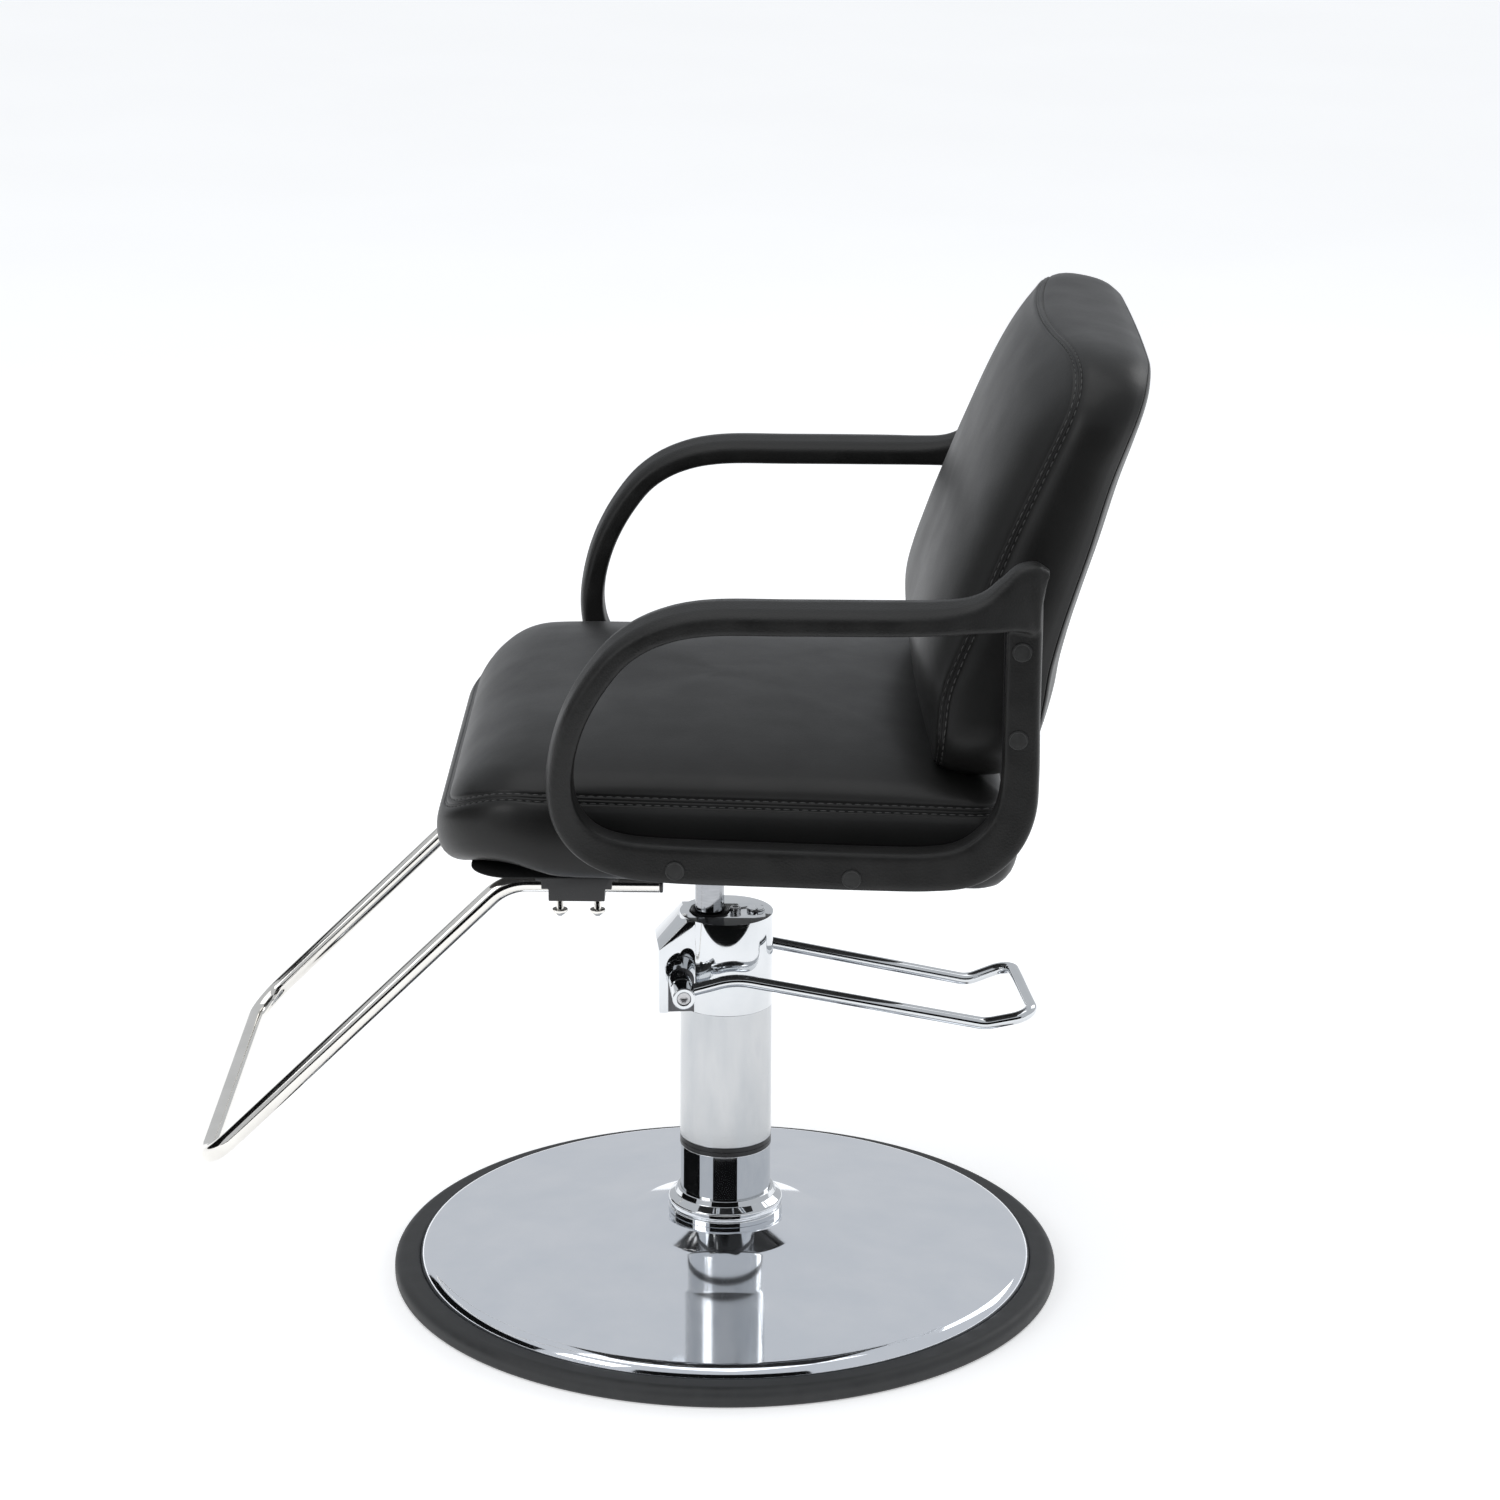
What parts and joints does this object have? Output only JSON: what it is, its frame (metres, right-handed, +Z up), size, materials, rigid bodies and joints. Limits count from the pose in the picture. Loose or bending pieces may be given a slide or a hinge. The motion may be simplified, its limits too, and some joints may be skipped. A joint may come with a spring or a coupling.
{
  "type": "styling chair",
  "caption": "Salon chair with a padded seat and back, loop arms, U-shaped footrest, and a pedal-pumped hydraulic column on a round dished base.",
  "frame": {"origin": "on the floor, on the axis of the piston rod, which the chair turns on", "axes": "+Z up; the sitter faces -Y; +X is the side of the sitter's left hand"},
  "size_m": [0.665, 0.7939, 0.9059],
  "materials": {
    "base_chrome": "polished chrome plate on a steel pressing",
    "pump_chrome": "polished chrome plate",
    "footrest_chrome": "polished chrome plate on tube",
    "satin_sleeve": "satin, almost white",
    "plain_steel": "zinc plated",
    "black_steel": "black powder coat",
    "cast_metal": "as cast",
    "bronze": "sintered bronze",
    "edge_rubber": "moulded, matt dark grey",
    "black_plastic": "moulded, satin",
    "black_vinyl": "smooth satin vinyl over foam",
    "arm_polyurethane": "self-skinned polyurethane foam with a fine leather grain",
    "plywood": "plain plywood",
    "dust_cloth": "black non-woven cloth"
  },
  "bodies": {
    "base": {"base_plate": "base_chrome", "base_rubber_ring": "edge_rubber", "base_reinforcing_plate": "plain_steel", "pump_mount_bolts": "plain_steel", "pump_lower_tube": "pump_chrome", "base_collar": "pump_chrome", "seal_band": "black_plastic", "pump_sleeve": "satin_sleeve", "pump_head_cover": "pump_chrome", "pump_head": "cast_metal", "pressure_cylinder": "plain_steel", "rod_guide_bush": "bronze", "rod_wiper_seal": "edge_rubber", "bleed_screw": "plain_steel", "oil_filler_plug": "pump_chrome", "plunger_spring": "plain_steel"},
    "pedal": {"pedal_shaft": "plain_steel", "pedal_cam": "plain_steel", "pedal_hubs": "pump_chrome", "pedal_loop": "pump_chrome", "pedal_end_screws": "plain_steel", "pedal_set_screws": "plain_steel"},
    "plunger": {"pump_plunger": "plain_steel"},
    "lift": {"lift_piston": "plain_steel", "piston_seal": "edge_rubber", "thrust_bearing": "plain_steel"},
    "chair": {"piston_rod": "pump_chrome", "seat_mount_plate": "black_steel", "seat_plate_bolts": "plain_steel", "seat_board": "plywood", "seat_cushion": "black_vinyl", "seat_bottom_cover": "dust_cloth", "back_board": "plywood", "back_cushion": "black_vinyl", "arm_left": "arm_polyurethane", "arm_right": "arm_polyurethane", "arm_core_left": "plain_steel", "arm_core_right": "plain_steel", "arm_screws": "plain_steel", "arm_screw_caps": "black_plastic", "arm_nuts": "plain_steel", "footrest_tube": "footrest_chrome", "footrest_tube_plugs": "black_plastic", "footrest_bracket_left": "black_plastic", "footrest_bracket_right": "black_plastic", "footrest_screws": "plain_steel"}
  },
  "joints": [
    {"name": "lift", "type": "slide", "parent": "base", "child": "lift", "axis": [0, 0, 1], "range_m": [0, 0.15]},
    {"name": "chair_swivel", "type": "hinge", "parent": "lift", "child": "chair", "pos_m": [0, 0, 0.1], "axis": [0, 0, 1], "continuous": true},
    {"name": "pedal", "type": "hinge", "parent": "base", "child": "pedal", "pos_m": [0.00303, -0.02884, 0.2865], "axis": [-0.9945, -0.1045, 0], "range_deg": [0, 25], "stiffness_Nm_per_rad": 5, "springref_deg": -34.38},
    {"name": "plunger", "type": "slide", "parent": "base", "child": "plunger", "axis": [0, 0, 1], "range_m": [0, 0.003], "deforming": ["plunger_spring"]}
  ],
  "couplings": [
    {"joint": "plunger", "follows": "pedal", "m_per_rad": 0.0062}
  ]
}
